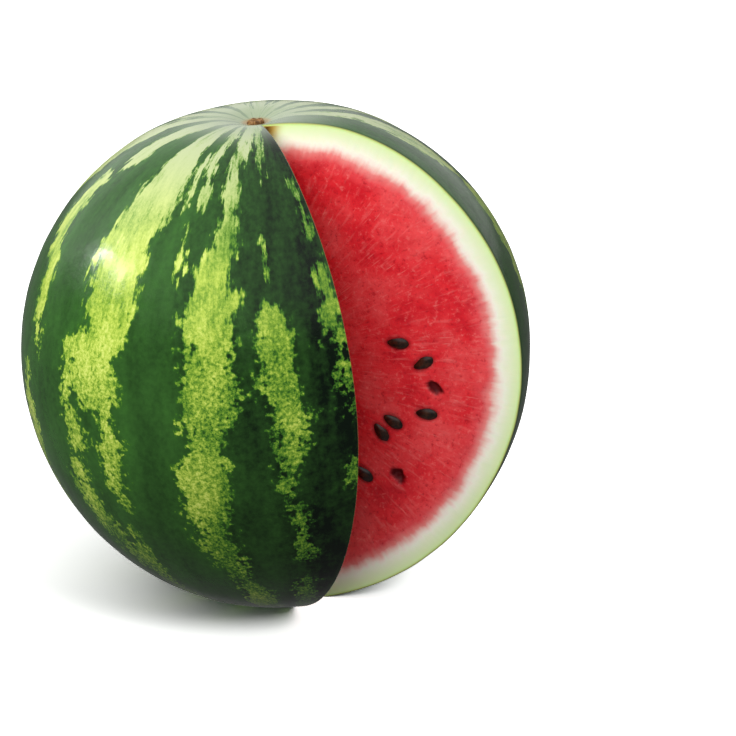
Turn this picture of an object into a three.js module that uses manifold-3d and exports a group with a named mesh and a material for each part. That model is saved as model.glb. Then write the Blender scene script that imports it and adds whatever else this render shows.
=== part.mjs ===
// A round striped watermelon that stands on its blossom end, with one wedge cut
// out of it from the crown to the foot. Three pieces: the rind, the flesh with its
// seeds, and the dried stem button in the dip of the crown.
//
// Millimetres, +Z up. The origin is on the surface it stands on, under the middle
// of the fruit. -Y is the front and the missing wedge faces front right.

import * as THREE from 'three';
import { mergeVertices } from 'three/addons/utils/BufferGeometryUtils.js';
import Module from 'manifold-3d';

// Driving dimensions: the fruit, measured from the middle of its widest ring
const GIRTH_R = 128; // radius at the widest ring
const CROWN_H = 126.5; // up to the stem end, before the dip there
const FOOT_H = 132; // down to the blossom end
const FLAT_H = 5; // height of the cap pressed flat where it rests
const LEAN = THREE.MathUtils.degToRad(-4.2); // the crown leans towards -X

// The dip round the stem: a broad hollow and a small pit in the middle of it
const DIP_DEPTH = 7;
const DIP_R = 37;
const PIT_DEPTH = 3;
const PIT_R = 11;

// The rind, from the skin in to where the flesh turns red
const RIND_T = 13;
const FLESH_GAP = 0.3;
const FLESH_DIP = 4; // the red flesh dips less than the skin

// The two cuts, by their bearing from the front (-Y) round towards +X, and the
// line where the cuts meet, as a point at the crown and one at the foot
const FRONT_CUT = THREE.MathUtils.degToRad(16.2);
const BACK_CUT = THREE.MathUtils.degToRad(79.6);
const MEET_CROWN = new THREE.Vector2(3.2, -13.0);
const MEET_FOOT = new THREE.Vector2(-2.6, -22.7);
const FRONT_BOW = 11; // the front cut bulges by this at mid-height
const BOW_HALF_H = 120;

// Seeds, sunk in the two cut faces along an arc inside the rind
const SEED_L = 10.4;
const SEED_W = 6;
const SEED_T = 3.4;
const SEED_SINK = 0.35; // depth of its middle below the cut face
const SEED_ARC = 0.66; // share of the way from the middle out to the rind
const SEED_ARC_JITTER = 0.09;
const PIT_EVERY = 4; // every fourth place is an empty pit

// Each cut face's row of seeds: which way the face looks, the row's two ends as
// angles above the girth, and how many places it has
const SEED_ROWS = [
  { bearing: FRONT_CUT, side: -1, top: 62, bottom: -62, count: 15 },
  { bearing: BACK_CUT, side: 1, top: 10, bottom: -66, count: 9 },
];

// The dried stem button
const STEM_R = 4.4;
const STEM_H = 3.2; // above the bottom of the pit
const STEM_ROOT = 3.0; // below the bottom of the pit
const STEM_GAP = 0.3;

// Facets
const AROUND = 48;
const UPWARD = 26;
const REACH = 500; // larger than the fruit, for the cutting solids

const wasm = await Module();
wasm.setup();

function solidOf(geometry) {
  const bare = geometry.clone();
  bare.deleteAttribute('normal');
  bare.deleteAttribute('uv');
  const merged = mergeVertices(bare, 1e-4);
  return new wasm.Manifold(new wasm.Mesh({
    numProp: 3,
    vertProperties: new Float32Array(merged.attributes.position.array),
    triVerts: new Uint32Array(merged.index.array),
  }));
}

function geometryOf(solid) {
  const mesh = solid.getMesh();
  const geometry = new THREE.BufferGeometry();
  geometry.setAttribute('position', new THREE.BufferAttribute(mesh.vertProperties, 3));
  geometry.setIndex(new THREE.BufferAttribute(mesh.triVerts, 1));
  geometry.computeVertexNormals();
  return geometry;
}

// A small seeded generator, so that the seeds fall in the same places every time
function makeRandom(seed) {
  let state = seed;
  return () => {
    state = (state * 1664525 + 1013904223) % 4294967296;
    return state / 4294967296;
  };
}

// The fruit's own height, from its middle, of the ring at this angle above the
// girth, and that ring's radius, for a surface this far in from the skin
function ringAt(angle, inset, dipDepth, pitDepth) {
  const halfH = (angle > 0 ? CROWN_H : FOOT_H) - inset;
  const girth = GIRTH_R - inset;
  const away = 1 / Math.hypot(Math.cos(angle) / girth, Math.sin(angle) / halfH);
  const radius = away * Math.cos(angle);
  let height = away * Math.sin(angle);
  if (angle > 0) {
    height -= dipDepth * Math.exp(-((radius / DIP_R) ** 2));
    height -= pitDepth * Math.exp(-((radius / PIT_R) ** 2));
  }
  return new THREE.Vector2(radius, height);
}

function turnedFruit(inset, dipDepth, pitDepth) {
  const profile = [];
  for (let i = 0; i <= UPWARD; i += 1) {
    const angle = (i / UPWARD - 0.5) * Math.PI;
    const ring = ringAt(angle, inset, dipDepth, pitDepth);
    if (i === 0 || i === UPWARD) ring.x = 0;
    profile.push(ring);
  }
  return new THREE.LatheGeometry(profile, AROUND).rotateX(Math.PI / 2);
}

const outward = (bearing) => new THREE.Vector2(Math.sin(bearing), -Math.cos(bearing));

// Where the two cuts meet at this height. The front cut's bow slides that line
// along the back cut, so the back cut stays flat
function meetAt(height) {
  const share = (height + FOOT_H) / (CROWN_H + FOOT_H);
  const bow = FRONT_BOW * (1 - (height / BOW_HALF_H) ** 2);
  const slide = bow / Math.sin(BACK_CUT - FRONT_CUT);
  return MEET_FOOT.clone().lerp(MEET_CROWN, share).addScaledVector(outward(BACK_CUT), slide);
}

function wedgeGeometry() {
  const outline = new THREE.Shape([
    new THREE.Vector2(0, 0),
    outward(FRONT_CUT).multiplyScalar(REACH),
    outward(BACK_CUT).multiplyScalar(REACH),
  ]);
  const tall = CROWN_H + FOOT_H + 40;
  const geometry = new THREE.ExtrudeGeometry(outline, { depth: tall, steps: 14, bevelEnabled: false });
  geometry.translate(0, 0, -tall / 2);
  const place = geometry.attributes.position;
  for (let i = 0; i < place.count; i += 1) {
    const meet = meetAt(place.getZ(i));
    place.setXY(i, place.getX(i) + meet.x, place.getY(i) + meet.y);
  }
  return geometry;
}

// One seed lying along +X, thinner towards its pointed end, flat in Z
function seedGeometry() {
  const geometry = new THREE.SphereGeometry(0.5, 8, 6).rotateZ(-Math.PI / 2);
  const place = geometry.attributes.position;
  for (let i = 0; i < place.count; i += 1) {
    const along = place.getX(i);
    const width = 1 - 0.45 * Math.max(0, along + 0.1);
    place.setXYZ(i, along * SEED_L, place.getY(i) * SEED_W * width, place.getZ(i) * SEED_T);
  }
  return geometry;
}

// Seed places on one cut face: a point on the face and a turn in the face, strung
// along the arc from the crown down to the foot
function seedPlaces({ bearing, top, bottom, count }, random) {
  const places = [];
  for (let i = 0; i < count; i += 1) {
    const along = (i + 0.35 + 0.3 * random()) / count;
    const angle = THREE.MathUtils.degToRad(top + (bottom - top) * along);
    const rim = ringAt(angle, RIND_T, FLESH_DIP, 0);
    const share = SEED_ARC + SEED_ARC_JITTER * (2 * random() - 1);
    const height = rim.y * share;
    const meet = meetAt(height);
    const away = rim.x * share - meet.dot(outward(bearing));
    const spot = meet.addScaledVector(outward(bearing), away);
    const turn = angle + Math.PI + 0.5 * (2 * random() - 1);
    places.push({ spot: new THREE.Vector3(spot.x, spot.y, height), turn, empty: i % PIT_EVERY === 2 });
  }
  return places;
}

// Stands a seed in the cut face: its length turned in the face, its flat side out
function placeSeed(place, bearing, side, sink) {
  const across = outward(bearing);
  const along = new THREE.Vector3(across.x, across.y, 0);
  const rise = meetAt(place.spot.z + 1).sub(meetAt(place.spot.z - 1)).multiplyScalar(0.5);
  const facing = new THREE.Vector3(rise.x, rise.y, 1).cross(along).normalize().multiplyScalar(-side);
  const up = new THREE.Vector3().crossVectors(facing, along).multiplyScalar(side);
  const length = along.clone().multiplyScalar(Math.cos(place.turn)).addScaledVector(up, Math.sin(place.turn));
  const width = new THREE.Vector3().crossVectors(facing, length);
  const frame = new THREE.Matrix4().makeBasis(length, width, facing);
  frame.setPosition(place.spot.clone().addScaledVector(facing, -sink));
  return seedGeometry().applyMatrix4(frame);
}

// Build in the fruit's own frame, with its axis upright
const outside = solidOf(turnedFruit(0, DIP_DEPTH, PIT_DEPTH));
const hollow = solidOf(turnedFruit(RIND_T, FLESH_DIP, 0));
const core = solidOf(turnedFruit(RIND_T + FLESH_GAP, FLESH_DIP, 0));
const wedge = solidOf(wedgeGeometry());

const pitFloor = ringAt(Math.PI / 2, 0, DIP_DEPTH, PIT_DEPTH).y;
const stemProfile = [
  new THREE.Vector2(0, -STEM_ROOT),
  new THREE.Vector2(STEM_R * 0.8, -STEM_ROOT),
  new THREE.Vector2(STEM_R, 0.8),
  new THREE.Vector2(STEM_R * 1.08, STEM_H * 0.55),
  new THREE.Vector2(STEM_R * 0.86, STEM_H),
  new THREE.Vector2(STEM_R * 0.45, STEM_H * 0.9),
  new THREE.Vector2(0, STEM_H * 0.55),
];
const stemGeometry = new THREE.LatheGeometry(stemProfile, 14).rotateX(Math.PI / 2).translate(0, 0, pitFloor);
const socketR = STEM_R * 1.08 + STEM_GAP;
const socket = solidOf(new THREE.CylinderGeometry(socketR, socketR, 20, 20)
  .rotateX(Math.PI / 2).translate(0, 0, pitFloor - STEM_ROOT - STEM_GAP + 10));

let flesh = core.subtract(wedge);
const random = makeRandom(20);
for (const row of SEED_ROWS) {
  for (const place of seedPlaces(row, random)) {
    const seed = solidOf(placeSeed(place, row.bearing, row.side, SEED_SINK));
    flesh = place.empty ? flesh.subtract(seed) : flesh.add(seed);
  }
}
const rind = outside.subtract(hollow).subtract(wedge).subtract(socket);

// Lean the fruit, set it on the surface and press its foot flat
const stand = new THREE.Matrix4().makeRotationY(LEAN).setPosition(0, 0, FOOT_H - FLAT_H);
const surface = solidOf(new THREE.BoxGeometry(REACH, REACH, REACH).translate(0, 0, -REACH / 2));
const pressedRind = solidOf(geometryOf(rind).applyMatrix4(stand)).subtract(surface);

function piece(name, geometry, color, roughness) {
  const mesh = new THREE.Mesh(geometry, new THREE.MeshStandardMaterial({ color, roughness, metalness: 0 }));
  mesh.name = name;
  return mesh;
}

const watermelon = new THREE.Group();
watermelon.add(
  piece('rind', geometryOf(pressedRind), 0x2f6b34, 0.35),
  piece('flesh', geometryOf(flesh).applyMatrix4(stand), 0xcf2f3c, 0.45),
  piece('stem_button', stemGeometry.applyMatrix4(stand), 0x7a5a32, 0.85),
);

export default watermelon;
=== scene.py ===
# A round striped watermelon that stands on its blossom end, with one wedge cut out of it
# from the crown to the foot. The rind, the flesh, its seeds and the dried stem button are
# modelled finely in the place of the frame's own pieces. The rind has its solid's size, the
# flesh fills the gap to the rind, and the stem button is about 1 mm lower than its solid.
#
# Shapes are worked out in millimetres in the fruit's upright frame, whose origin is in the
# middle of its widest ring. They are then leaned and set on the floor, in metres. A bearing
# is measured from the front (-Y) round towards +X, and an angle upwards from the girth.

import math
import random

import bmesh
import bpy
import numpy as np
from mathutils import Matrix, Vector, noise


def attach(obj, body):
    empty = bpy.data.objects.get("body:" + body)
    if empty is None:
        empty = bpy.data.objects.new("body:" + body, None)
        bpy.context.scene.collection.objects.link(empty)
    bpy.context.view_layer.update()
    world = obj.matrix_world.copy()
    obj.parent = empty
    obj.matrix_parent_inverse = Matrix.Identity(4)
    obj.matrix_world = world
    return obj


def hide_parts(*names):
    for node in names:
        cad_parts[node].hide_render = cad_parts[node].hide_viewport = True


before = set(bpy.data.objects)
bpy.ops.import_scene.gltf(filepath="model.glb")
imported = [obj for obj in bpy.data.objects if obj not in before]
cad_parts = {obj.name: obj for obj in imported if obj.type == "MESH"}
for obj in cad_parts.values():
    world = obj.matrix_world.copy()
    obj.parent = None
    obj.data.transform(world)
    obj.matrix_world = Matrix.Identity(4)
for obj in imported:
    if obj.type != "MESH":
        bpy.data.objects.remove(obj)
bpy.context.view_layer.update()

# The fruit, with the same driving dimensions as the frame
GIRTH_R = 128.0
CROWN_H = 126.5
FOOT_H = 132.0
FLAT_H = 5.0
LEAN = math.radians(-4.2)
DIP_DEPTH = 7.0
DIP_R = 37.0
PIT_DEPTH = 3.0
PIT_R = 11.0
RIND_T = 13.0
FLESH_DIP = 4.0

# The two cuts and the line where they meet
FRONT_CUT = math.radians(16.2)
BACK_CUT = math.radians(79.6)
MEET_CROWN = np.array([3.2, -13.0])
MEET_FOOT = np.array([-2.6, -22.7])
FRONT_BOW = 11.0
BOW_HALF_H = 120.0
LIP_R = 0.6  # rounding of the skin's edge along a cut
TISSUE_R = 9.0  # reach of the brown tissue at the corner of the cuts by the stem
LAYERS_DEEP = 24.0  # depth below the skin where the cut's colours end in full red
MIDDLE_H = FOOT_H - FLAT_H  # the widest ring's height above the floor

# Seeds along each cut face: bearing, side it looks to, first and last angle, places
SEED_L = 10.4
SEED_W = 6.0
SEED_T = 3.4
SEED_SINK = 0.35
SEED_ARC = 0.66
SEED_ARC_JITTER = 0.09
PIT_EVERY = 4
# Painted shade: a dark line round each seed's edge, where it meets the flesh
SEED_RIM = 0.6  # half width of the dark line round a seed's edge
GROOVE_DEPTH = 0.5  # of the groove in the flesh round a seed
EMPTY_DEPTH = 3.2  # of a pit that has lost its seed
SEED_ROWS = (
    (FRONT_CUT, -1, 62, -62, 15),
    (BACK_CUT, 1, 10, -66, 9),
)

# The dried stem button
STEM_R = 4.4
STEM_ROOT = 3.0

# Mesh fineness
CAP_ROWS = 16
SKIN_ROWS = 190
SKIN_COLUMNS = 280
LIP_STEPS = 4
BAND_STEPS = 12
WALL_COLUMNS = 48
FLESH_ROWS = 300
FACE_STEPS = 104
SEED_RINGS = 15
SEED_COLUMNS = 28
STEM_RINGS = 45
STEM_COLUMNS = 60

SKIN = (0.0, DIP_DEPTH, PIT_DEPTH)
CORE = (RIND_T, FLESH_DIP, 0.0)

# Light stripes that show from the front, each a strand of (angle, bearing, half width) in
# degrees from its upper end to its lower end
FRONT_STRANDS = (
    ((78, -3.0, 7.0), (70, -4.0, 4.6), (62, -7.5, 3.0), (50, -8.0, 3.0), (42, -8.0, 3.2),
     (36, -10.0, 5.0), (28, -11.0, 6.2), (10, -11.5, 6.5), (5, -12.0, 6.0), (1, -12.8, 3.4),
     (-2, -13.0, 3.2), (-5, -14.0, 5.5), (-12, -14.5, 5.5), (-20, -14.5, 5.0), (-28, -14.0, 4.0),
     (-40, -12.0, 2.4)),
    ((-42, -10.0, 3.5), (-48, -9.0, 5.0), (-70, -6.0, 6.0)),
    ((80, 5.0, 5.0), (73, 4.0, 2.3), (66, 4.0, 1.6), (56, 4.0, 1.0)),
    ((46, 2.6, -1.0), (40, 2.8, -0.4), (33, 3.0, -0.8)),
    ((28, 2.5, 2.0), (20, 3.5, 3.6), (10, 4.0, 3.4), (4, 5.0, 3.8), (-2, 5.2, 3.4), (-12, 3.6, 1.2)),
    ((-15, 5.5, 2.4), (-24, 5.5, 2.6), (-31, 6.0, 2.2)),
    ((-40, 6.0, 2.5), (-50, 6.5, 3.0), (-72, 7.0, 5.0)),
    ((57, 15.2, 0.7), (50, 16.0, 0.9), (42, 16.8, 1.1)),
    ((38, 16.8, 1.3), (30, 17.1, 1.7), (10, 17.5, 1.8), (3, 18.0, 1.1)),
    ((-7, 17.5, 1.6), (-14, 17.5, 1.3)),
    ((82, -17.0, 5.0), (72, -16.5, 2.6), (66, -17.5, 2.6), (58, -17.3, 2.2), (50, -17.5, 1.4)),
    ((66, -22.5, 1.0), (58, -22.5, 1.3), (50, -22.0, 0.9)),
    ((46, -20.0, 0.6), (33, -20.0, 0.6)),
    ((82, -34.0, 10.0), (75, -34.0, 6.8), (68, -34.0, 7.2), (60, -34.5, 9.5), (52, -35.0, 10.2),
     (46, -36.5, 9.3), (42, -38.0, 8.0), (28, -39.0, 8.0), (22, -37.0, 6.0), (18, -35.5, 4.0)),
    ((17, -42.0, 8.0), (10, -41.5, 8.5)),
    ((11, -48.0, 3.0), (4, -48.0, 2.6), (-5, -46.0, 2.6)),
    ((12, -36.0, 3.2), (4, -36.0, 2.6), (-12, -36.5, 2.4), (-19, -36.0, 1.8)),
    ((-11, -49.0, 3.0), (-18, -48.0, 4.4), (-26, -46.0, 4.6), (-33, -43.5, 4.2), (-40, -41.0, 2.6)),
    ((-25, -37.0, 1.6), (-32, -38.5, 3.0), (-40, -38.5, 2.8)),
    ((-34, -41.0, 3.0), (-45, -38.0, 4.0), (-70, -34.0, 6.0)),
    ((82, -66.0, 12.0), (72, -65.0, 8.0), (65, -65.5, 6.5), (60, -65.0, 5.0), (56, -66.0, 2.5)),
    ((53, -73.0, 3.5), (44, -73.0, 4.5), (36, -72.0, 4.0)),
    ((33, -67.0, 2.8), (22, -66.0, 3.0), (12, -63.0, 1.2)),
    ((6, -69.0, 2.6), (-10, -70.0, 3.5), (-24, -68.0, 3.0), (-70, -64.0, 6.0)),
)

# The middle and half width of the part of the skin that is painted darker, as painted shade where the light
# falls off
PAINTED_SHADE_MIDDLE = math.radians(18)
PAINTED_SHADE_HALF = math.radians(32)

# Light stripes on the sides and the back: their bearings, their half widths in degrees, the
# chance that a knot is pinched, and the chance and place of a thin stripe beside one
BACK_STRIPES = (91, 112, 134, 156, 179, 201, 223, 245, 266)
BACK_NARROWEST = 3.0
BACK_WIDEST = 8.5
PINCH_CHANCE = 0.16
PINCH_WIDTH = 1.4
THIN_CHANCE = 0.7
THIN_ASIDE = 10.5

# A stripe whose upper end is above this angle runs on up to the crown. Past any other end it
# narrows, by so many degrees for each degree
STRIPE_RUNS_ON = 74
STRIPE_END = 1.2
FAR_OUTSIDE = -60.0  # the stripe field far from every stripe

# The grain of the cut: millimetres for a radian about the middle, and how far apart the
# grain of the two cut faces is taken
RAY_SPREAD = 80.0
FACES_APART = 500.0


def srgb(red, green, blue):
    """A colour as it looks on screen, 0 to 255, as the linear colour that shaders take."""
    shares = np.array([red, green, blue]) / 255
    linear = np.where(shares > 0.04045, ((shares + 0.055) / 1.055) ** 2.4, shares / 12.92)
    return (*linear.tolist(), 1.0)


def smooth(low, high, value):
    """From 0 at low to 1 at high, eased at both ends. Low may be the larger of the two."""
    share = np.clip((value - low) / (high - low), 0, 1)
    return share * share * (3 - 2 * share)


# The fruit's form
def middle_to_skin(angle, inset=0.0):
    """Distance from the middle out to a surface this far in from the skin, with no dip."""
    half_height = np.where(angle > 0, CROWN_H, FOOT_H) - inset
    return 1 / np.hypot(np.cos(angle) / (GIRTH_R - inset), np.sin(angle) / half_height)


def hollow_at(radius, dip, pit):
    """Depth of the dip and the pit in the crown at this radius."""
    return dip * np.exp(-((radius / DIP_R) ** 2)) + pit * np.exp(-((radius / PIT_R) ** 2))


def ring_at(angle, inset, dip, pit):
    """Radius and height of the ring at this angle, on a surface this far in from the skin."""
    away = middle_to_skin(angle, inset)
    radius = away * np.cos(angle)
    return radius, away * np.sin(angle) - np.where(angle > 0, hollow_at(radius, dip, pit), 0)


def outward(bearing):
    return np.array([math.sin(bearing), -math.cos(bearing)])


def meet_at(height):
    """Where the two cuts meet at these heights. The front cut's bow slides it along the back cut."""
    height = np.asarray(height, float)
    share = (height + FOOT_H) / (CROWN_H + FOOT_H)
    slide = FRONT_BOW * (1 - (height / BOW_HALF_H) ** 2) / math.sin(BACK_CUT - FRONT_CUT)
    line = MEET_FOOT + share[..., None] * (MEET_CROWN - MEET_FOOT)
    return line + slide[..., None] * outward(BACK_CUT)


def on_cut(bearing, reach, height):
    """Points of a cut face, this far out from the line where the cuts meet."""
    flat = meet_at(height) + np.asarray(reach)[..., None] * outward(bearing)
    return np.concatenate([flat, np.asarray(height)[..., None]], axis=-1)


def cut_edge(angles, bearing, surface):
    """Reach and height of the curve where a cut leaves the surface, ring by ring."""
    radius, height = ring_at(angles, *surface)
    meet = meet_at(height)
    along = meet @ outward(bearing)
    spare = radius**2 - (meet**2).sum(-1)
    reach = np.sqrt(np.maximum(along**2 + spare, 0)) - along
    return np.where(spare > 0, reach, 0), height


def ring_angles(surface, open_rows):
    """Angles of the rings from crown to foot: whole rings, rings that the wedge opens, whole rings."""
    every = np.linspace(math.pi / 2, -math.pi / 2, 20001)
    radius, height = ring_at(every, *surface)
    opened = every[radius > np.linalg.norm(meet_at(height), axis=-1)]
    step = np.linspace(0, 1, open_rows)
    eased = 0.6 * step + 0.4 * (0.5 - 0.5 * np.cos(math.pi * step))
    middle = opened[0] + (opened[-1] - opened[0]) * eased
    crown = np.linspace(math.pi / 2, opened[0], CAP_ROWS + 1)[:-1]
    foot = np.linspace(opened[-1], -math.pi / 2, CAP_ROWS + 1)[1:]
    return np.concatenate([crown, middle, foot])


def edge_bearings(angles, surface):
    """Bearings of the kept part of each ring, from the back cut round to the front cut."""
    _, height = ring_at(angles, *surface)
    meet = meet_at(height)
    whole = np.ones(len(angles), bool)
    whole[CAP_ROWS + 1 : -CAP_ROWS - 1] = False
    ends = []
    for cut in (BACK_CUT, FRONT_CUT):
        edge = on_cut(cut, *cut_edge(angles, cut, surface))
        edge[whole, :2] = meet[whole]
        ends.append(np.arctan2(edge[:, 0], -edge[:, 1]))
    return ends[0], ends[1] + 2 * math.pi


def round_points(angles, bearings, surface):
    radius, height = ring_at(angles, *surface)
    across = radius[:, None] * np.sin(bearings)
    back = -radius[:, None] * np.cos(bearings)
    return np.stack([across, back, np.broadcast_to(height[:, None], bearings.shape)], axis=-1)


def wall_points(angles, surface):
    """The rounded wall between rind and flesh, from the back cut round to the front cut."""
    back, front = edge_bearings(angles, surface)
    share = np.linspace(0, 1, WALL_COLUMNS + 1)
    return round_points(angles, back[:, None] + (front - back)[:, None] * share, surface)


def skin_points(angles, core_angles):
    """The skin, with its edges rounded down into the two cuts."""
    back, front = edge_bearings(angles, SKIN)
    radius = np.maximum(ring_at(angles, *SKIN)[0], 1e-6)
    gap = np.maximum(2 * math.pi - (front - back), 0) * radius
    lip = np.minimum(LIP_R, 0.3 * gap)
    bend = np.linspace(0, math.pi / 2, LIP_STEPS + 1)
    tuck = lip[:, None] / radius[:, None] * (1 - np.cos(bend))
    start = (back + lip / radius)[:, None]
    stop = (front - lip / radius)[:, None]
    share = np.linspace(0, 1, SKIN_COLUMNS + 1)[1:-1]
    bearings = np.concatenate(
        [back[:, None] + tuck, start + (stop - start) * share, (front[:, None] - tuck)[:, ::-1]], axis=1
    )
    points = round_points(angles, bearings, SKIN)
    sink = lip[:, None] * (1 - np.sin(bend))
    first = slice(0, LIP_STEPS + 1)
    last = slice(-LIP_STEPS - 1, None)
    for cut, columns, order in ((BACK_CUT, first, 1), (FRONT_CUT, last, -1)):
        inner = on_cut(cut, *cut_edge(core_angles, cut, CORE))
        inward = inner - on_cut(cut, *cut_edge(angles, cut, SKIN))
        inward /= np.linalg.norm(inward, axis=-1, keepdims=True)
        points[:, columns] += sink[:, ::order, None] * inward[:, None, :]
    return points


def fill_dip(points):
    """Radius and height of each point, with the dip in the crown filled."""
    radius = np.hypot(points[:, 0], points[:, 1])
    hollow = hollow_at(radius, DIP_DEPTH, PIT_DEPTH)
    return radius, points[:, 2] + np.where(points[:, 2] > 0, hollow, 0)


def depth_below_skin(points):
    radius, height = fill_dip(points)
    return middle_to_skin(np.arctan2(height, radius)) - np.hypot(radius, height)


def skin_angle(points):
    """Angle of each point as seen from the middle, with the dip in the crown filled."""
    radius, height = fill_dip(points)
    return np.arctan2(height, radius)


# Meshes
def lumps(points, size, shift):
    """Soft noise from -1 to 1 whose lumps are about this many millimetres across."""
    return np.array([noise.noise(Vector(p)) for p in points / size + shift])


def quads(rows, columns, first):
    corner = first + np.arange(rows - 1)[:, None] * columns + np.arange(columns - 1)
    corner = corner.ravel()
    return np.stack([corner, corner + 1, corner + columns + 1, corner + columns], axis=1)


def welded_mesh(name, patches):
    """One mesh from grids of points, each with a material number, joined where they touch."""
    points, faces, numbers = [], [], []
    first = 0
    for grid, number in patches:
        rows, columns = grid.shape[:2]
        points.append(grid.reshape(-1, 3))
        faces.append(quads(rows, columns, first))
        numbers.append(np.full((rows - 1) * (columns - 1), number))
        first += rows * columns
    mesh = bpy.data.meshes.new(name)
    mesh.from_pydata(np.concatenate(points).tolist(), [], np.concatenate(faces).tolist())
    mesh.polygons.foreach_set("material_index", np.concatenate(numbers).astype(np.int32))
    work = bmesh.new()
    work.from_mesh(mesh)
    bmesh.ops.remove_doubles(work, verts=work.verts, dist=1e-3)
    bmesh.ops.recalc_face_normals(work, faces=work.faces)
    work.to_mesh(mesh)
    work.free()
    return mesh


def read_points(mesh):
    flat = np.empty(len(mesh.vertices) * 3)
    mesh.vertices.foreach_get("co", flat)
    return flat.reshape(-1, 3)


def to_floor(points):
    """From the fruit's upright frame in millimetres to the leaning fruit on the floor in metres."""
    c, s = math.cos(LEAN), math.sin(LEAN)
    x = c * points[:, 0] + s * points[:, 2]
    z = -s * points[:, 0] + c * points[:, 2] + FOOT_H - FLAT_H
    return np.stack([x, points[:, 1], z], axis=1) / 1000


def write_points(mesh, points):
    mesh.vertices.foreach_set("co", np.ascontiguousarray(points, float).ravel())
    mesh.update()


def write_number(mesh, name, values):
    layer = mesh.attributes.new(name, "FLOAT", "POINT")
    layer.data.foreach_set("value", np.ascontiguousarray(values, np.float32))


def write_vector(mesh, name, values):
    layer = mesh.attributes.new(name, "FLOAT_VECTOR", "POINT")
    layer.data.foreach_set("vector", np.ascontiguousarray(values, np.float32).ravel())


def make_piece(name, mesh, materials, slot, *nodes, sharp=None):
    mesh.polygons.foreach_set("use_smooth", np.ones(len(mesh.polygons), bool))
    if sharp:
        mesh.set_sharp_from_angle(angle=math.radians(sharp))
    for material in materials:
        mesh.materials.append(material)
    piece = bpy.data.objects.new(name, mesh)
    bpy.context.scene.collection.objects.link(piece)
    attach(piece, "root")
    if nodes:
        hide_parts(*nodes)
    return piece


# Stripes
def back_strands():
    """Light stripes for the sides and the back, like those in front, by a seeded rule."""
    draw = random.Random(11)
    strands = []
    for bearing in BACK_STRIPES:
        knots = [(84, bearing, 9.0), (75, bearing, 6.5)]
        width = draw.uniform(4.5, 7.5)
        for angle in range(64, -80, -8):
            width = min(BACK_WIDEST, max(BACK_NARROWEST, width + draw.uniform(-2.0, 2.0)))
            knots.append((angle, bearing + draw.uniform(-1.6, 1.6), width))
            if draw.random() < PINCH_CHANCE:
                knots[-1] = (angle, bearing + draw.uniform(-2.0, 2.0), PINCH_WIDTH)
        strands.append(tuple(knots))
        if draw.random() < THIN_CHANCE:
            side = bearing + draw.choice((-THIN_ASIDE, THIN_ASIDE))
            strands.append(((82, side, 2.4), (68, side, 1.8), (52, side + draw.uniform(-1, 1), 1.0)))
    return tuple(strands)


def stripe_field(bearing, angle):
    """How far inside a light stripe each point is, in millimetres at the girth, below 0 outside."""
    bearing = np.degrees(bearing)
    angle = np.degrees(angle)
    scale = math.radians(1) * GIRTH_R
    field = np.full(len(bearing), FAR_OUTSIDE)
    for strand in FRONT_STRANDS + back_strands():
        knots = np.array(strand)[::-1]
        centre = np.interp(angle, knots[:, 0], knots[:, 1])
        half = np.interp(angle, knots[:, 0], knots[:, 2])
        aside = np.abs((bearing - centre + 180) % 360 - 180)
        past = np.maximum(knots[0, 0] - angle, 0)
        if knots[-1, 0] < STRIPE_RUNS_ON:
            past = np.maximum(past, angle - knots[-1, 0])
        field = np.maximum(field, (half - aside - STRIPE_END * past) * scale)
    return field


# Materials: short calls that add nodes
def put(tree, kind, inputs=None, **settings):
    made = tree.nodes.new(kind)
    for name, value in settings.items():
        setattr(made, name, value)
    for key, value in (inputs or {}).items():
        if isinstance(value, bpy.types.NodeSocket):
            tree.links.new(value, made.inputs[key])
        else:
            made.inputs[key].default_value = value
    return made


def read(tree, name, output="Fac"):
    return put(tree, "ShaderNodeAttribute", attribute_name=name).outputs[output]


def calc(tree, operation, first, second=0.0):
    return put(tree, "ShaderNodeMath", {0: first, 1: second}, operation=operation).outputs[0]


def stretch(tree, vector, scale):
    return put(tree, "ShaderNodeVectorMath", {0: vector, 1: scale}, operation="MULTIPLY").outputs[0]


def cloud(tree, vector, scale, detail=2.0, roughness=0.5):
    inputs = {"Vector": vector, "Scale": scale, "Detail": detail, "Roughness": roughness}
    return put(tree, "ShaderNodeTexNoise", inputs).outputs[0]


def step(tree, value, low, high, start=0.0, stop=1.0):
    inputs = {"Value": value, "From Min": low, "From Max": high, "To Min": start, "To Max": stop}
    return put(tree, "ShaderNodeMapRange", inputs, interpolation_type="SMOOTHSTEP").outputs[0]


def blend(tree, share, first, second):
    return put(tree, "ShaderNodeMix", {0: share, 6: first, 7: second}, data_type="RGBA").outputs[2]


def mix(tree, share, first, second):
    return put(tree, "ShaderNodeMix", {0: share, 2: first, 3: second}).outputs[0]


def swing(tree, value, size):
    """A noise value made to swing about 0."""
    return calc(tree, "MULTIPLY", calc(tree, "SUBTRACT", value, 0.5), size)


def over(tree, colour, second, *shares):
    """A second colour laid over the first by the product of the shares."""
    share = shares[0]
    for other in shares[1:]:
        share = calc(tree, "MULTIPLY", share, other)
    return blend(tree, share, colour, second)


def ramp(tree, value, stops):
    made = put(tree, "ShaderNodeValToRGB", {0: value})
    elements = made.color_ramp.elements
    elements[0].position, elements[0].color = stops[0]
    elements[1].position, elements[1].color = stops[-1]
    for place, colour in stops[1:-1]:
        elements.new(place).color = colour
    return made.outputs[0]


def new_material(name):
    material = bpy.data.materials.new(name)
    material.use_nodes = True
    tree = material.node_tree
    return material, tree, tree.nodes["Principled BSDF"]


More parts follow.
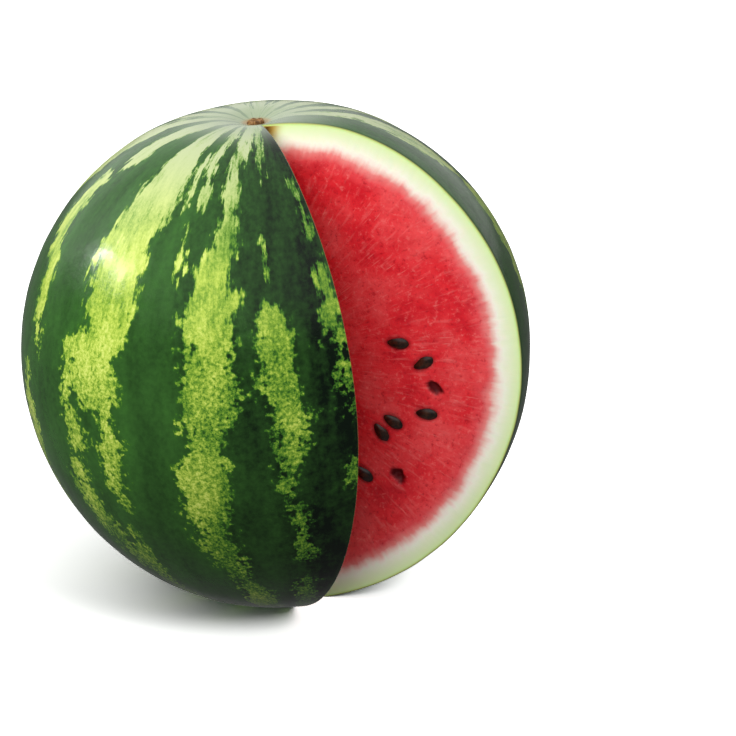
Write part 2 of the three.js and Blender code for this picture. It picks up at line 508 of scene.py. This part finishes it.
def skin_material():
    material, tree, shader = new_material("melon_skin")
    place = read(tree, "skin", "Vector")
    along = read(tree, "along")
    painted_light_share = read(tree, "painted_light_share")
    stripe = calc(tree, "MINIMUM", read(tree, "stripe"), 8.0)
    low = step(tree, along, 0.30, 0.46)

    # Stripes: streaky near the crown, broken into granules lower down
    patch = cloud(tree, place, 0.075, 3.0, 0.62)
    streak = cloud(tree, stretch(tree, place, (1.0, 1.0, 0.24)), 0.3, 4.0, 0.7)
    grain = cloud(tree, place, 0.3, 3.0, 0.62)
    torn = mix(tree, low, swing(tree, streak, 22.0), swing(tree, grain, 20.0))
    edge = calc(tree, "ADD", calc(tree, "ADD", stripe, swing(tree, patch, 24.0)), torn)
    fleck = cloud(tree, place, 0.55, 4.0, 0.75)
    blotch = cloud(tree, stretch(tree, place, (1.0, 1.0, 0.6)), 0.06, 2.0, 0.5)
    streaky = calc(tree, "ADD", swing(tree, streak, 0.9), swing(tree, fleck, 0.8))
    tone = mix(tree, low, streaky, swing(tree, fleck, 2.1))
    tone = calc(tree, "ADD", tone, swing(tree, blotch, 1.1))
    tone = calc(tree, "ADD", tone, mix(tree, low, 0.78, 0.64))
    # Painted shade: the light stripes are painted dimmer where the skin is painted shaded
    tone = calc(tree, "ADD", tone, swing(tree, calc(tree, "MINIMUM", painted_light_share, 0.5), 0.7))
    # Painted shade: the light stripes are painted darker towards the foot
    tone = calc(tree, "SUBTRACT", tone, step(tree, along, 0.48, 0.68, 0.0, 0.22))
    tone = calc(tree, "MULTIPLY", step(tree, edge, -2.2, 3.2), tone)
    light = ramp(tree, tone, (
        (0.0, srgb(30, 70, 24)),
        (0.3, srgb(62, 108, 34)),
        (0.55, srgb(116, 152, 48)),
        (0.8, srgb(170, 192, 76)),
        (1.0, srgb(196, 210, 106)),
    ))
    # Paler, greyer stripes towards the crown: partly waxy bloom, partly painted sheen
    bloom_and_painted_sheen = calc(tree, "MULTIPLY", step(tree, along, 0.32, 0.10), step(tree, tone, 0.3, 0.8))
    light = blend(tree, bloom_and_painted_sheen, light, srgb(172, 183, 140))

    deep = cloud(tree, stretch(tree, place, (1.0, 1.0, 0.3)), 0.06, 3.0, 0.6)
    # How light the dark green is: painted shade about the front right, with random mottle
    shade = calc(tree, "ADD", painted_light_share, swing(tree, deep, 1.2))
    shade = calc(tree, "ADD", shade, swing(tree, grain, 0.7))
    shade = calc(tree, "MULTIPLY", shade, 0.8)
    dark = blend(tree, shade, srgb(10, 21, 12), srgb(57, 103, 43))
    near = calc(tree, "MULTIPLY", step(tree, stripe, -15.0, 0.0), step(tree, patch, 0.3, 0.7, 0.1, 0.6))
    dark = blend(tree, calc(tree, "MULTIPLY", near, shade), dark, srgb(56, 104, 38))
    colour = blend(tree, step(tree, tone, 0.0, 0.28), dark, light)
    # Grey-green at the crown: partly the skin's pale crown, partly painted reflection
    colour = blend(tree, step(tree, along, 0.13, 0.02, 0.0, 0.76), colour, srgb(140, 153, 130))
    colour = blend(tree, read(tree, "cork"), colour, srgb(150, 116, 62))
    colour = blend(tree, read(tree, "lip"), colour, srgb(176, 180, 110))
    tree.links.new(colour, shader.inputs["Base Color"])

    gloss = cloud(tree, place, 0.2, 3.0, 0.6)
    tree.links.new(step(tree, gloss, 0.3, 0.7, 0.13, 0.25), shader.inputs["Roughness"])
    shader.inputs["Specular IOR Level"].default_value = 0.18
    pores = calc(tree, "ADD", cloud(tree, place, 1.1, 2.0, 0.5), calc(tree, "MULTIPLY", gloss, 2.0))
    bump = put(tree, "ShaderNodeBump", {"Height": pores, "Strength": 0.12, "Distance": 0.0005})
    tree.links.new(bump.outputs[0], shader.inputs["Normal"])
    return material


def cut_material():
    """The cut rind and flesh: the colour follows the depth below the skin."""
    material, tree, shader = new_material("melon_cut")
    depth = read(tree, "depth")
    ray = read(tree, "ray", "Vector")
    place = put(tree, "ShaderNodeTexCoord").outputs["Object"]
    place = stretch(tree, place, (1000.0, 1000.0, 1000.0))
    soft = cloud(tree, place, 0.07, 3.0, 0.55)
    fibre = cloud(tree, stretch(tree, ray, (0.5, 0.08, 1.0)), 1.0, 2.0, 0.5)
    wander = calc(tree, "ADD", swing(tree, soft, 7.0), swing(tree, fibre, 4.0))
    seen = calc(tree, "ADD", depth, calc(tree, "MULTIPLY", wander, step(tree, depth, 3.0, 9.0)))
    layers = (
        (0.0, srgb(120, 164, 60)),
        (0.03, srgb(200, 230, 138)),
        (0.07, srgb(224, 248, 184)),
        (0.20, srgb(234, 250, 206)),
        (0.36, srgb(250, 254, 232)),
        (0.43, srgb(253, 242, 228)),
        (0.51, srgb(249, 208, 196)),
        (0.60, srgb(240, 140, 136)),
        (0.76, srgb(233, 76, 82)),
        (1.0, srgb(230, 42, 52)),
    )
    colour = ramp(tree, calc(tree, "DIVIDE", seen, LAYERS_DEEP), layers)

    # Wet red grain, with paler threads that run outwards from the middle
    red = step(tree, seen, 13.0, 20.0)
    blotch = cloud(tree, place, 0.04, 3.0, 0.6)
    colour = over(tree, colour, srgb(240, 84, 86), red, step(tree, blotch, 0.42, 0.66, 0.0, 0.75))
    colour = over(tree, colour, srgb(196, 16, 36), red, step(tree, blotch, 0.48, 0.3, 0.0, 0.6))
    grain = cloud(tree, place, 0.4, 4.0, 0.7)
    colour = over(tree, colour, srgb(246, 124, 120), red, step(tree, grain, 0.53, 0.74, 0.0, 0.65))
    colour = over(tree, colour, srgb(178, 10, 30), red, step(tree, grain, 0.47, 0.28, 0.0, 0.7))
    colour = over(tree, colour, srgb(244, 116, 114), red, step(tree, fibre, 0.54, 0.72, 0.0, 0.36))
    thread = cloud(tree, stretch(tree, ray, (0.9, 0.08, 1.0)), 1.0, 2.0, 0.5)
    where = cloud(tree, place, 0.06, 2.0, 0.5)
    thread = calc(tree, "MULTIPLY", step(tree, thread, 0.62, 0.74), step(tree, where, 0.42, 0.58))
    colour = over(tree, colour, srgb(246, 150, 142), red, calc(tree, "MULTIPLY", thread, 0.45))
    # Painted shade in the pits that lost their seeds and in the grooves round the seeds
    colour = blend(tree, read(tree, "painted_pit_shade"), colour, srgb(74, 6, 12))
    cork = read(tree, "cork")
    colour = blend(tree, step(tree, cork, 0.1, 0.7), colour, srgb(186, 150, 66))
    colour = blend(tree, step(tree, cork, 0.5, 0.95), colour, srgb(92, 54, 22))
    tree.links.new(colour, shader.inputs["Base Color"])

    wet = cloud(tree, place, 0.3, 3.0, 0.6)
    tree.links.new(step(tree, wet, 0.35, 0.65, 0.3, 0.5), shader.inputs["Roughness"])
    shader.inputs["Specular IOR Level"].default_value = 0.4
    shader.inputs["Subsurface Weight"].default_value = 0.12
    shader.inputs["Subsurface Radius"].default_value = (1.0, 0.35, 0.25)
    shader.inputs["Subsurface Scale"].default_value = 0.003
    relief = calc(tree, "ADD", calc(tree, "MULTIPLY", grain, red), calc(tree, "MULTIPLY", fibre, 0.4))
    bump = put(tree, "ShaderNodeBump", {"Height": relief, "Strength": 0.35, "Distance": 0.0012})
    tree.links.new(bump.outputs[0], shader.inputs["Normal"])
    return material


def seed_material():
    material, tree, shader = new_material("melon_seed")
    place = put(tree, "ShaderNodeTexCoord").outputs["Object"]
    mottle = cloud(tree, place, 420.0, 3.0, 0.6)
    # Painted shade round the seed's edge, where it meets the flesh
    painted_edge_shade = read(tree, "painted_edge_shade")
    colour = blend(tree, step(tree, mottle, 0.35, 0.7), srgb(24, 14, 10), srgb(64, 38, 22))
    colour = blend(tree, calc(tree, "MULTIPLY", painted_edge_shade, 0.6), colour, srgb(12, 8, 6))
    tree.links.new(colour, shader.inputs["Base Color"])
    shader.inputs["Roughness"].default_value = 0.28
    bump = put(tree, "ShaderNodeBump", {"Height": mottle, "Strength": 0.15, "Distance": 0.0003})
    tree.links.new(bump.outputs[0], shader.inputs["Normal"])
    return material


def stem_material():
    material, tree, shader = new_material("dry_stem")
    place = put(tree, "ShaderNodeTexCoord").outputs["Object"]
    grain = cloud(tree, stretch(tree, place, (1.0, 1.0, 0.3)), 900.0, 4.0, 0.65)
    broad = cloud(tree, place, 220.0, 2.0, 0.5)
    colour = blend(tree, step(tree, grain, 0.35, 0.65), srgb(92, 58, 30), srgb(168, 128, 76))
    colour = blend(tree, step(tree, broad, 0.5, 0.7, 0.0, 0.6), colour, srgb(70, 44, 26))
    tree.links.new(colour, shader.inputs["Base Color"])
    shader.inputs["Roughness"].default_value = 0.85
    bump = put(tree, "ShaderNodeBump", {"Height": grain, "Strength": 0.6, "Distance": 0.0006})
    tree.links.new(bump.outputs[0], shader.inputs["Normal"])
    return material


# The rind
def make_rind(skin, cut):
    angles = ring_angles(SKIN, SKIN_ROWS)
    core_angles = ring_angles(CORE, SKIN_ROWS)
    outside = skin_points(angles, core_angles)
    wall = wall_points(core_angles, CORE)
    opened = slice(CAP_ROWS, -CAP_ROWS)
    ends = [CAP_ROWS, -CAP_ROWS - 1]
    share = np.linspace(0, 1, BAND_STEPS + 1)[None, :, None]
    patches = [(outside, 0), (wall, 1)]
    for bearing, column in ((BACK_CUT, 0), (FRONT_CUT, -1)):
        inner = on_cut(bearing, *cut_edge(core_angles, bearing, CORE))
        inner[ends] = wall[ends, column]
        outer = outside[opened, column]
        patches.append((outer[:, None] + (inner[opened] - outer)[:, None] * share, 1))
    mesh = welded_mesh("rind_finish", patches)

    points = read_points(mesh)
    depth = depth_below_skin(points)
    bearing = np.arctan2(points[:, 0], -points[:, 1])
    angle = skin_angle(points)
    radius = np.hypot(points[:, 0], points[:, 1])
    write_number(mesh, "depth", depth)
    write_number(mesh, "stripe", stripe_field(bearing, angle))
    write_number(mesh, "along", 0.5 - angle / math.pi)
    # Painted shade: the skin is painted darker about the front right, where the light falls off
    write_number(mesh, "painted_light_share", 0.75 - 0.62 * np.exp(-((bearing - PAINTED_SHADE_MIDDLE) / PAINTED_SHADE_HALF) ** 2))
    write_number(mesh, "lip", smooth(0.02, 0.4, depth))
    unrolled = np.stack([np.sin(bearing), -np.cos(bearing), angle], axis=1)
    write_vector(mesh, "skin", GIRTH_R * unrolled)
    write_vector(mesh, "ray", ray_place(points))
    # Cork on the skin round the stem and at the blossom end, and brown tissue in the cut
    collar = smooth(8.5, 5.0, radius) * (points[:, 2] > 0) + smooth(9.0, 4.0, radius) * (points[:, 2] < 0)
    write_number(mesh, "cork", np.where(depth < 1.0, 0.8 * collar, corner_tissue(points)))

    # The skin swells softly, less and less down the cut and towards the stem and blossom end
    unit = points / np.linalg.norm(points, axis=1, keepdims=True)
    swell = 0.55 * lumps(points, 46.0, 3.0) + 0.16 * lumps(points, 14.0, 9.0)
    swell *= smooth(9.0, 1.0, depth) * smooth(6.0, 22.0, radius)
    world = to_floor(points + unit * swell[:, None])
    world[:, 2] = np.maximum(world[:, 2], 0)
    write_points(mesh, world)
    return make_piece("rind_finish", mesh, [skin, cut], "rind", "rind", sharp=50)


def crown_corner():
    """The corner by the stem where the two cuts and the skin meet."""
    angle = ring_angles(SKIN, 3)[CAP_ROWS : CAP_ROWS + 1]
    radius, height = ring_at(angle, *SKIN)
    return np.concatenate([meet_at(height)[0], height])


def corner_tissue(points):
    """How much each point belongs to the brown tissue at the corner by the stem, 0 to 1."""
    return np.exp(-(((points - crown_corner()) ** 2).sum(-1)) / TISSUE_R**2)


def ray_place(points):
    """Turn about the middle and distance from it, in millimetres, for grain that runs outwards."""
    radius = np.hypot(points[:, 0], points[:, 1])
    turn = np.arctan2(points[:, 2], radius)
    away = np.hypot(radius, points[:, 2])
    across, back = outward(FRONT_CUT)
    aside = np.where(points[:, 0] * back > points[:, 1] * across, 0.0, FACES_APART)
    return np.stack([turn * RAY_SPREAD, away, aside], axis=1)


# The seeds
def make_draw(seed):
    state = seed
    while True:
        state = (state * 1664525 + 1013904223) % 4294967296
        yield state / 4294967296


def seed_places():
    """The frame's own seed places: face, reach and height on it, turn in the face, and if empty."""
    draw = make_draw(20)
    places = []
    for bearing, side, top, bottom, count in SEED_ROWS:
        for i in range(count):
            along = (i + 0.35 + 0.3 * next(draw)) / count
            angle = math.radians(top + (bottom - top) * along)
            radius, rise = ring_at(np.array(angle), *CORE)
            share = SEED_ARC + SEED_ARC_JITTER * (2 * next(draw) - 1)
            height = float(rise) * share
            reach = float(radius) * share - float(meet_at(height) @ outward(bearing))
            turn = angle + math.pi + 0.5 * (2 * next(draw) - 1)
            places.append((bearing, side, reach, height, turn, i % PIT_EVERY == 2))
    return places


def face_frame(bearing, side, reach, height):
    """Directions out along the face, up the face and out of the face, at one spot of it."""
    spot = on_cut(bearing, reach, height)
    out = np.append(outward(bearing), 0.0)
    rise = np.append((meet_at(height + 1) - meet_at(height - 1)) / 2, 1.0)
    facing = -side * np.cross(rise, out)
    facing /= np.linalg.norm(facing)
    return spot, out, side * np.cross(facing, out), facing


def seed_form():
    """One seed along +X with its point that way, as a grid of points."""
    lift = np.linspace(-math.pi / 2, math.pi / 2, SEED_RINGS)[:, None]
    turn = np.linspace(0, 2 * math.pi, SEED_COLUMNS + 1)[None, :]
    bead = 1 + 0.05 * np.exp(-((lift / 0.2) ** 2))
    along = 0.5 * np.cos(lift) * np.cos(turn) * bead
    width = 1 - 0.45 * np.maximum(0, along + 0.1)
    across = 0.5 * np.cos(lift) * np.sin(turn) * width * bead
    thick = 0.5 * np.sin(lift) * (1 - 0.25 * np.cos(lift) ** 4) + 0 * turn
    return np.stack([along * SEED_L, across * SEED_W, thick * SEED_T], axis=-1)


def make_seeds(material):
    form = seed_form()
    patches = []
    middles = []
    for bearing, side, reach, height, turn, empty in seed_places():
        if empty:
            continue
        spot, out, up, facing = face_frame(bearing, side, reach, height)
        length = math.cos(turn) * out + math.sin(turn) * up
        axes = np.stack([length, np.cross(facing, length), facing])
        patches.append((form @ axes + spot - SEED_SINK * facing, 0))
        middles.append((spot - SEED_SINK * facing, facing))
    mesh = welded_mesh("seeds", patches)
    points = read_points(mesh)
    # Painted shade round each seed's edge, where it meets the flesh
    painted_edge_shade = np.zeros(len(points))
    for middle, facing in middles:
        near = np.linalg.norm(points - middle, axis=1) < SEED_L * 0.55
        painted_edge_shade[near] = np.exp(-(((points[near] - middle) @ facing / SEED_RIM) ** 2))
    write_number(mesh, "painted_edge_shade", painted_edge_shade)
    write_points(mesh, to_floor(points))
    return make_piece("seeds", mesh, [material], "seed")


# The flesh
def make_flesh(cut):
    angles = ring_angles(CORE, FLESH_ROWS)
    wall = wall_points(angles, CORE)
    opened = slice(CAP_ROWS, -CAP_ROWS)
    share = np.linspace(0, 1, FACE_STEPS + 1)
    patches = [(wall, 0)]
    for bearing, column in ((BACK_CUT, 0), (FRONT_CUT, -1)):
        reach, height = cut_edge(angles[opened], bearing, CORE)
        reach[[0, -1]] = 0
        middle = np.linspace(height[0], height[-1], len(height))
        grid = on_cut(bearing, reach[:, None] * share, middle[:, None] + (height - middle)[:, None] * share)
        grid[:, -1] = wall[opened, column]
        patches.append((grid, 0))
    mesh = welded_mesh("flesh_finish", patches)

    points = read_points(mesh)
    depth = depth_below_skin(points)
    moved = points.copy()
    # Painted shade for the empty pits and the grooves round the seeds, 0 to 1
    painted_pit_shade = np.zeros(len(points))
    for bearing, side in ((BACK_CUT, 1), (FRONT_CUT, -1)):
        offset = points[:, :2] - meet_at(points[:, 2])
        reach = offset @ outward(bearing)
        off_face = offset @ np.array([math.cos(bearing), math.sin(bearing)])
        here = np.nonzero((np.abs(off_face) < 0.02) & (reach > 0.01))[0]
        spots = points[here]
        # The face is nearly plane, so the direction out of it at mid-height serves all of it
        _, _, _, facing = face_frame(bearing, side, 50.0, 0.0)
        rise = 0.45 * lumps(spots, 11.0, 5.0) + 0.22 * lumps(spots, 3.4, 17.0)
        for at, _, far, tall, turn, empty in seed_places():
            if at != bearing:
                continue
            sideways = reach[here] - far
            upwards = points[here, 2] - tall
            along = (sideways * math.cos(turn) + upwards * math.sin(turn)) / (SEED_L / 2)
            across = (upwards * math.cos(turn) - sideways * math.sin(turn)) / (SEED_W / 2)
            ring = np.hypot(along, across)
            if empty:
                ring = ring + 0.35 * lumps(spots, 2.6, 31.0)
                rise -= EMPTY_DEPTH * smooth(1.15, 0.35, ring)
                painted_pit_shade[here] = np.maximum(painted_pit_shade[here], 0.95 * smooth(1.15, 0.7, ring))
            else:
                rise -= GROOVE_DEPTH * np.exp(-(((ring - 1.05) / 0.22) ** 2))
                painted_pit_shade[here] = np.maximum(painted_pit_shade[here], 0.55 * smooth(1.45, 1.0, ring))
        rise *= smooth(RIND_T, RIND_T + 5, depth[here]) * smooth(0.0, 3.0, reach[here])
        moved[here] += rise[:, None] * facing
    write_number(mesh, "depth", depth)
    write_number(mesh, "painted_pit_shade", painted_pit_shade)
    write_number(mesh, "cork", corner_tissue(points))
    write_vector(mesh, "ray", ray_place(points))
    write_points(mesh, to_floor(moved))
    return make_piece("flesh_finish", mesh, [cut], "flesh", "flesh", sharp=50)


# The stem button
def make_stem(material):
    turn = np.linspace(0, 2 * math.pi, STEM_COLUMNS + 1)[None, :]
    # Share of the stem's radius and height above the bottom of the pit
    profile = np.array([
        (0.0, -STEM_ROOT), (0.8, -STEM_ROOT), (0.94, -1.2), (1.0, 0.2), (1.02, 0.9), (0.96, 1.5),
        (0.84, 1.9), (0.66, 1.9), (0.5, 1.6), (0.36, 1.1), (0.18, 0.9), (0.0, 0.85),
    ])
    fine = np.linspace(0, len(profile) - 1, STEM_RINGS)
    size = np.interp(fine, np.arange(len(profile)), profile[:, 0])[:, None]
    height = np.interp(fine, np.arange(len(profile)), profile[:, 1])[:, None]
    lobes = 1 + 0.07 * np.cos(5 * turn + 0.6) + 0.03 * np.cos(11 * turn)
    reach = STEM_R * 0.94 * size * lobes
    floor = float(ring_at(np.array(math.pi / 2), *SKIN)[1])
    tall = floor + height + 0.25 * size * np.cos(5 * turn + 0.6) * (height > 0)
    grid = np.stack([reach * np.sin(turn), -reach * np.cos(turn), tall], axis=-1)
    mesh = welded_mesh("stem_finish", [(grid, 0)])
    points = read_points(mesh)
    unit = points - np.array([0, 0, floor])
    unit /= np.maximum(np.linalg.norm(unit, axis=1, keepdims=True), 1e-6)
    rough = 0.3 * lumps(points, 1.5, 2.0) + 0.12 * lumps(points, 0.6, 7.0)
    write_points(mesh, to_floor(points + unit * rough[:, None]))
    return make_piece("stem_finish", mesh, [material], "stem", "stem_button")


# The studio: floor, light and camera
VIEW_RISE = math.radians(20.0)  # the camera looks down by this
VIEW_AWAY = 1.2
VIEW_ASIDE = 0.0462  # the fruit stands left of the middle of the picture
VIEW_UP = -0.0104
LENS = 116.0
SENSOR = 36.0
FLOOR_WHITE = 1.9  # overbright, so that the floor is white where the fruit doesn't shade it

# Name, bearing, angle, distance, size, power, if the skin mirrors it, and what it lights.
# Each lamp lights the fruit alone or the floor alone, so the shadow is set by itself
LAMPS = (
    ("key", -44, 35, 1.7, 0.9, 9.5, False, "fruit"),
    ("fill", -10, 26, 1.7, 0.6, 13.0, False, "fruit"),
    ("side_glow", -108, 28, 1.5, 0.8, 2.2, True, "fruit"),
    ("window_left", -101, 27, 1.5, 0.05, 5.0, True, "fruit"),
    ("window_right", -85, 28, 1.5, 0.2, 3.5, True, "fruit"),
    ("floor_front", 42, 33, 1.6, 0.5, 15.0, False, "ground"),
)


def make_floor():
    bpy.ops.mesh.primitive_plane_add(size=12.0)
    floor = bpy.context.object
    floor.name = "floor"
    material, tree, _ = new_material("floor_paper")
    paper = put(tree, "ShaderNodeBsdfDiffuse", {"Color": (FLOOR_WHITE, FLOOR_WHITE, FLOOR_WHITE, 1.0)})
    tree.links.new(paper.outputs[0], tree.nodes["Material Output"].inputs["Surface"])
    floor.data.materials.append(material)
    floor.visible_glossy = False
    floor.visible_diffuse = False
    return floor


def make_light(pieces, floor):
    world = bpy.data.worlds.new("studio")
    bpy.context.scene.world = world
    world.use_nodes = True
    tree = world.node_tree
    # A sky that is bright above and behind, and dim low down elsewhere
    axes = put(tree, "ShaderNodeSeparateXYZ", {0: put(tree, "ShaderNodeTexCoord").outputs["Generated"]})
    above = step(tree, axes.outputs["Z"], 0.28, 0.7, 0.12, 1.0)
    above = calc(tree, "ADD", above, step(tree, axes.outputs["Z"], 0.1, -0.2, 0.0, 0.03))
    behind = step(tree, axes.outputs["Y"], 0.2, 0.8)
    behind = calc(tree, "MULTIPLY", behind, step(tree, axes.outputs["Z"], -0.1, 0.1))
    tree.links.new(calc(tree, "MAXIMUM", above, behind), tree.nodes["Background"].inputs["Color"])
    lit = {}
    for group, members in (("fruit", pieces), ("ground", (floor,))):
        lit[group] = bpy.data.collections.new(group)
        for member in members:
            lit[group].objects.link(member)
    middle = Vector((0, 0, FOOT_H / 1000))
    for name, bearing, angle, away, size, power, mirrored, group in LAMPS:
        data = bpy.data.lights.new(name, "AREA")
        data.size = size
        data.energy = power
        lamp = bpy.data.objects.new(name, data)
        flat = away * math.cos(math.radians(angle)) * outward(math.radians(bearing))
        towards = Vector((*flat, away * math.sin(math.radians(angle))))
        lamp.location = middle + towards
        lamp.rotation_euler = (-towards).to_track_quat("-Z", "Y").to_euler()
        lamp.visible_glossy = mirrored
        lamp.light_linking.receiver_collection = lit[group]
        bpy.context.scene.collection.objects.link(lamp)


def make_camera():
    data = bpy.data.cameras.new("camera")
    data.lens = LENS
    data.sensor_width = SENSOR
    camera = bpy.data.objects.new("camera", data)
    ahead = Vector((0, math.cos(VIEW_RISE), -math.sin(VIEW_RISE)))
    upward = Vector((0, math.sin(VIEW_RISE), math.cos(VIEW_RISE)))
    middle = Vector((0, 0, MIDDLE_H / 1000))
    camera.location = middle - VIEW_AWAY * ahead + Vector((VIEW_ASIDE, 0, 0)) + VIEW_UP * upward
    camera.rotation_euler = ahead.to_track_quat("-Z", "Y").to_euler()
    bpy.context.scene.collection.objects.link(camera)
    bpy.context.scene.camera = camera
    bpy.context.scene.view_settings.view_transform = "Standard"


make_camera()
cut = cut_material()
rind = make_rind(skin_material(), cut)
flesh = make_flesh(cut)
seeds = make_seeds(seed_material())
stem = make_stem(stem_material())
floor = make_floor()
make_light((rind, flesh, seeds, stem), floor)
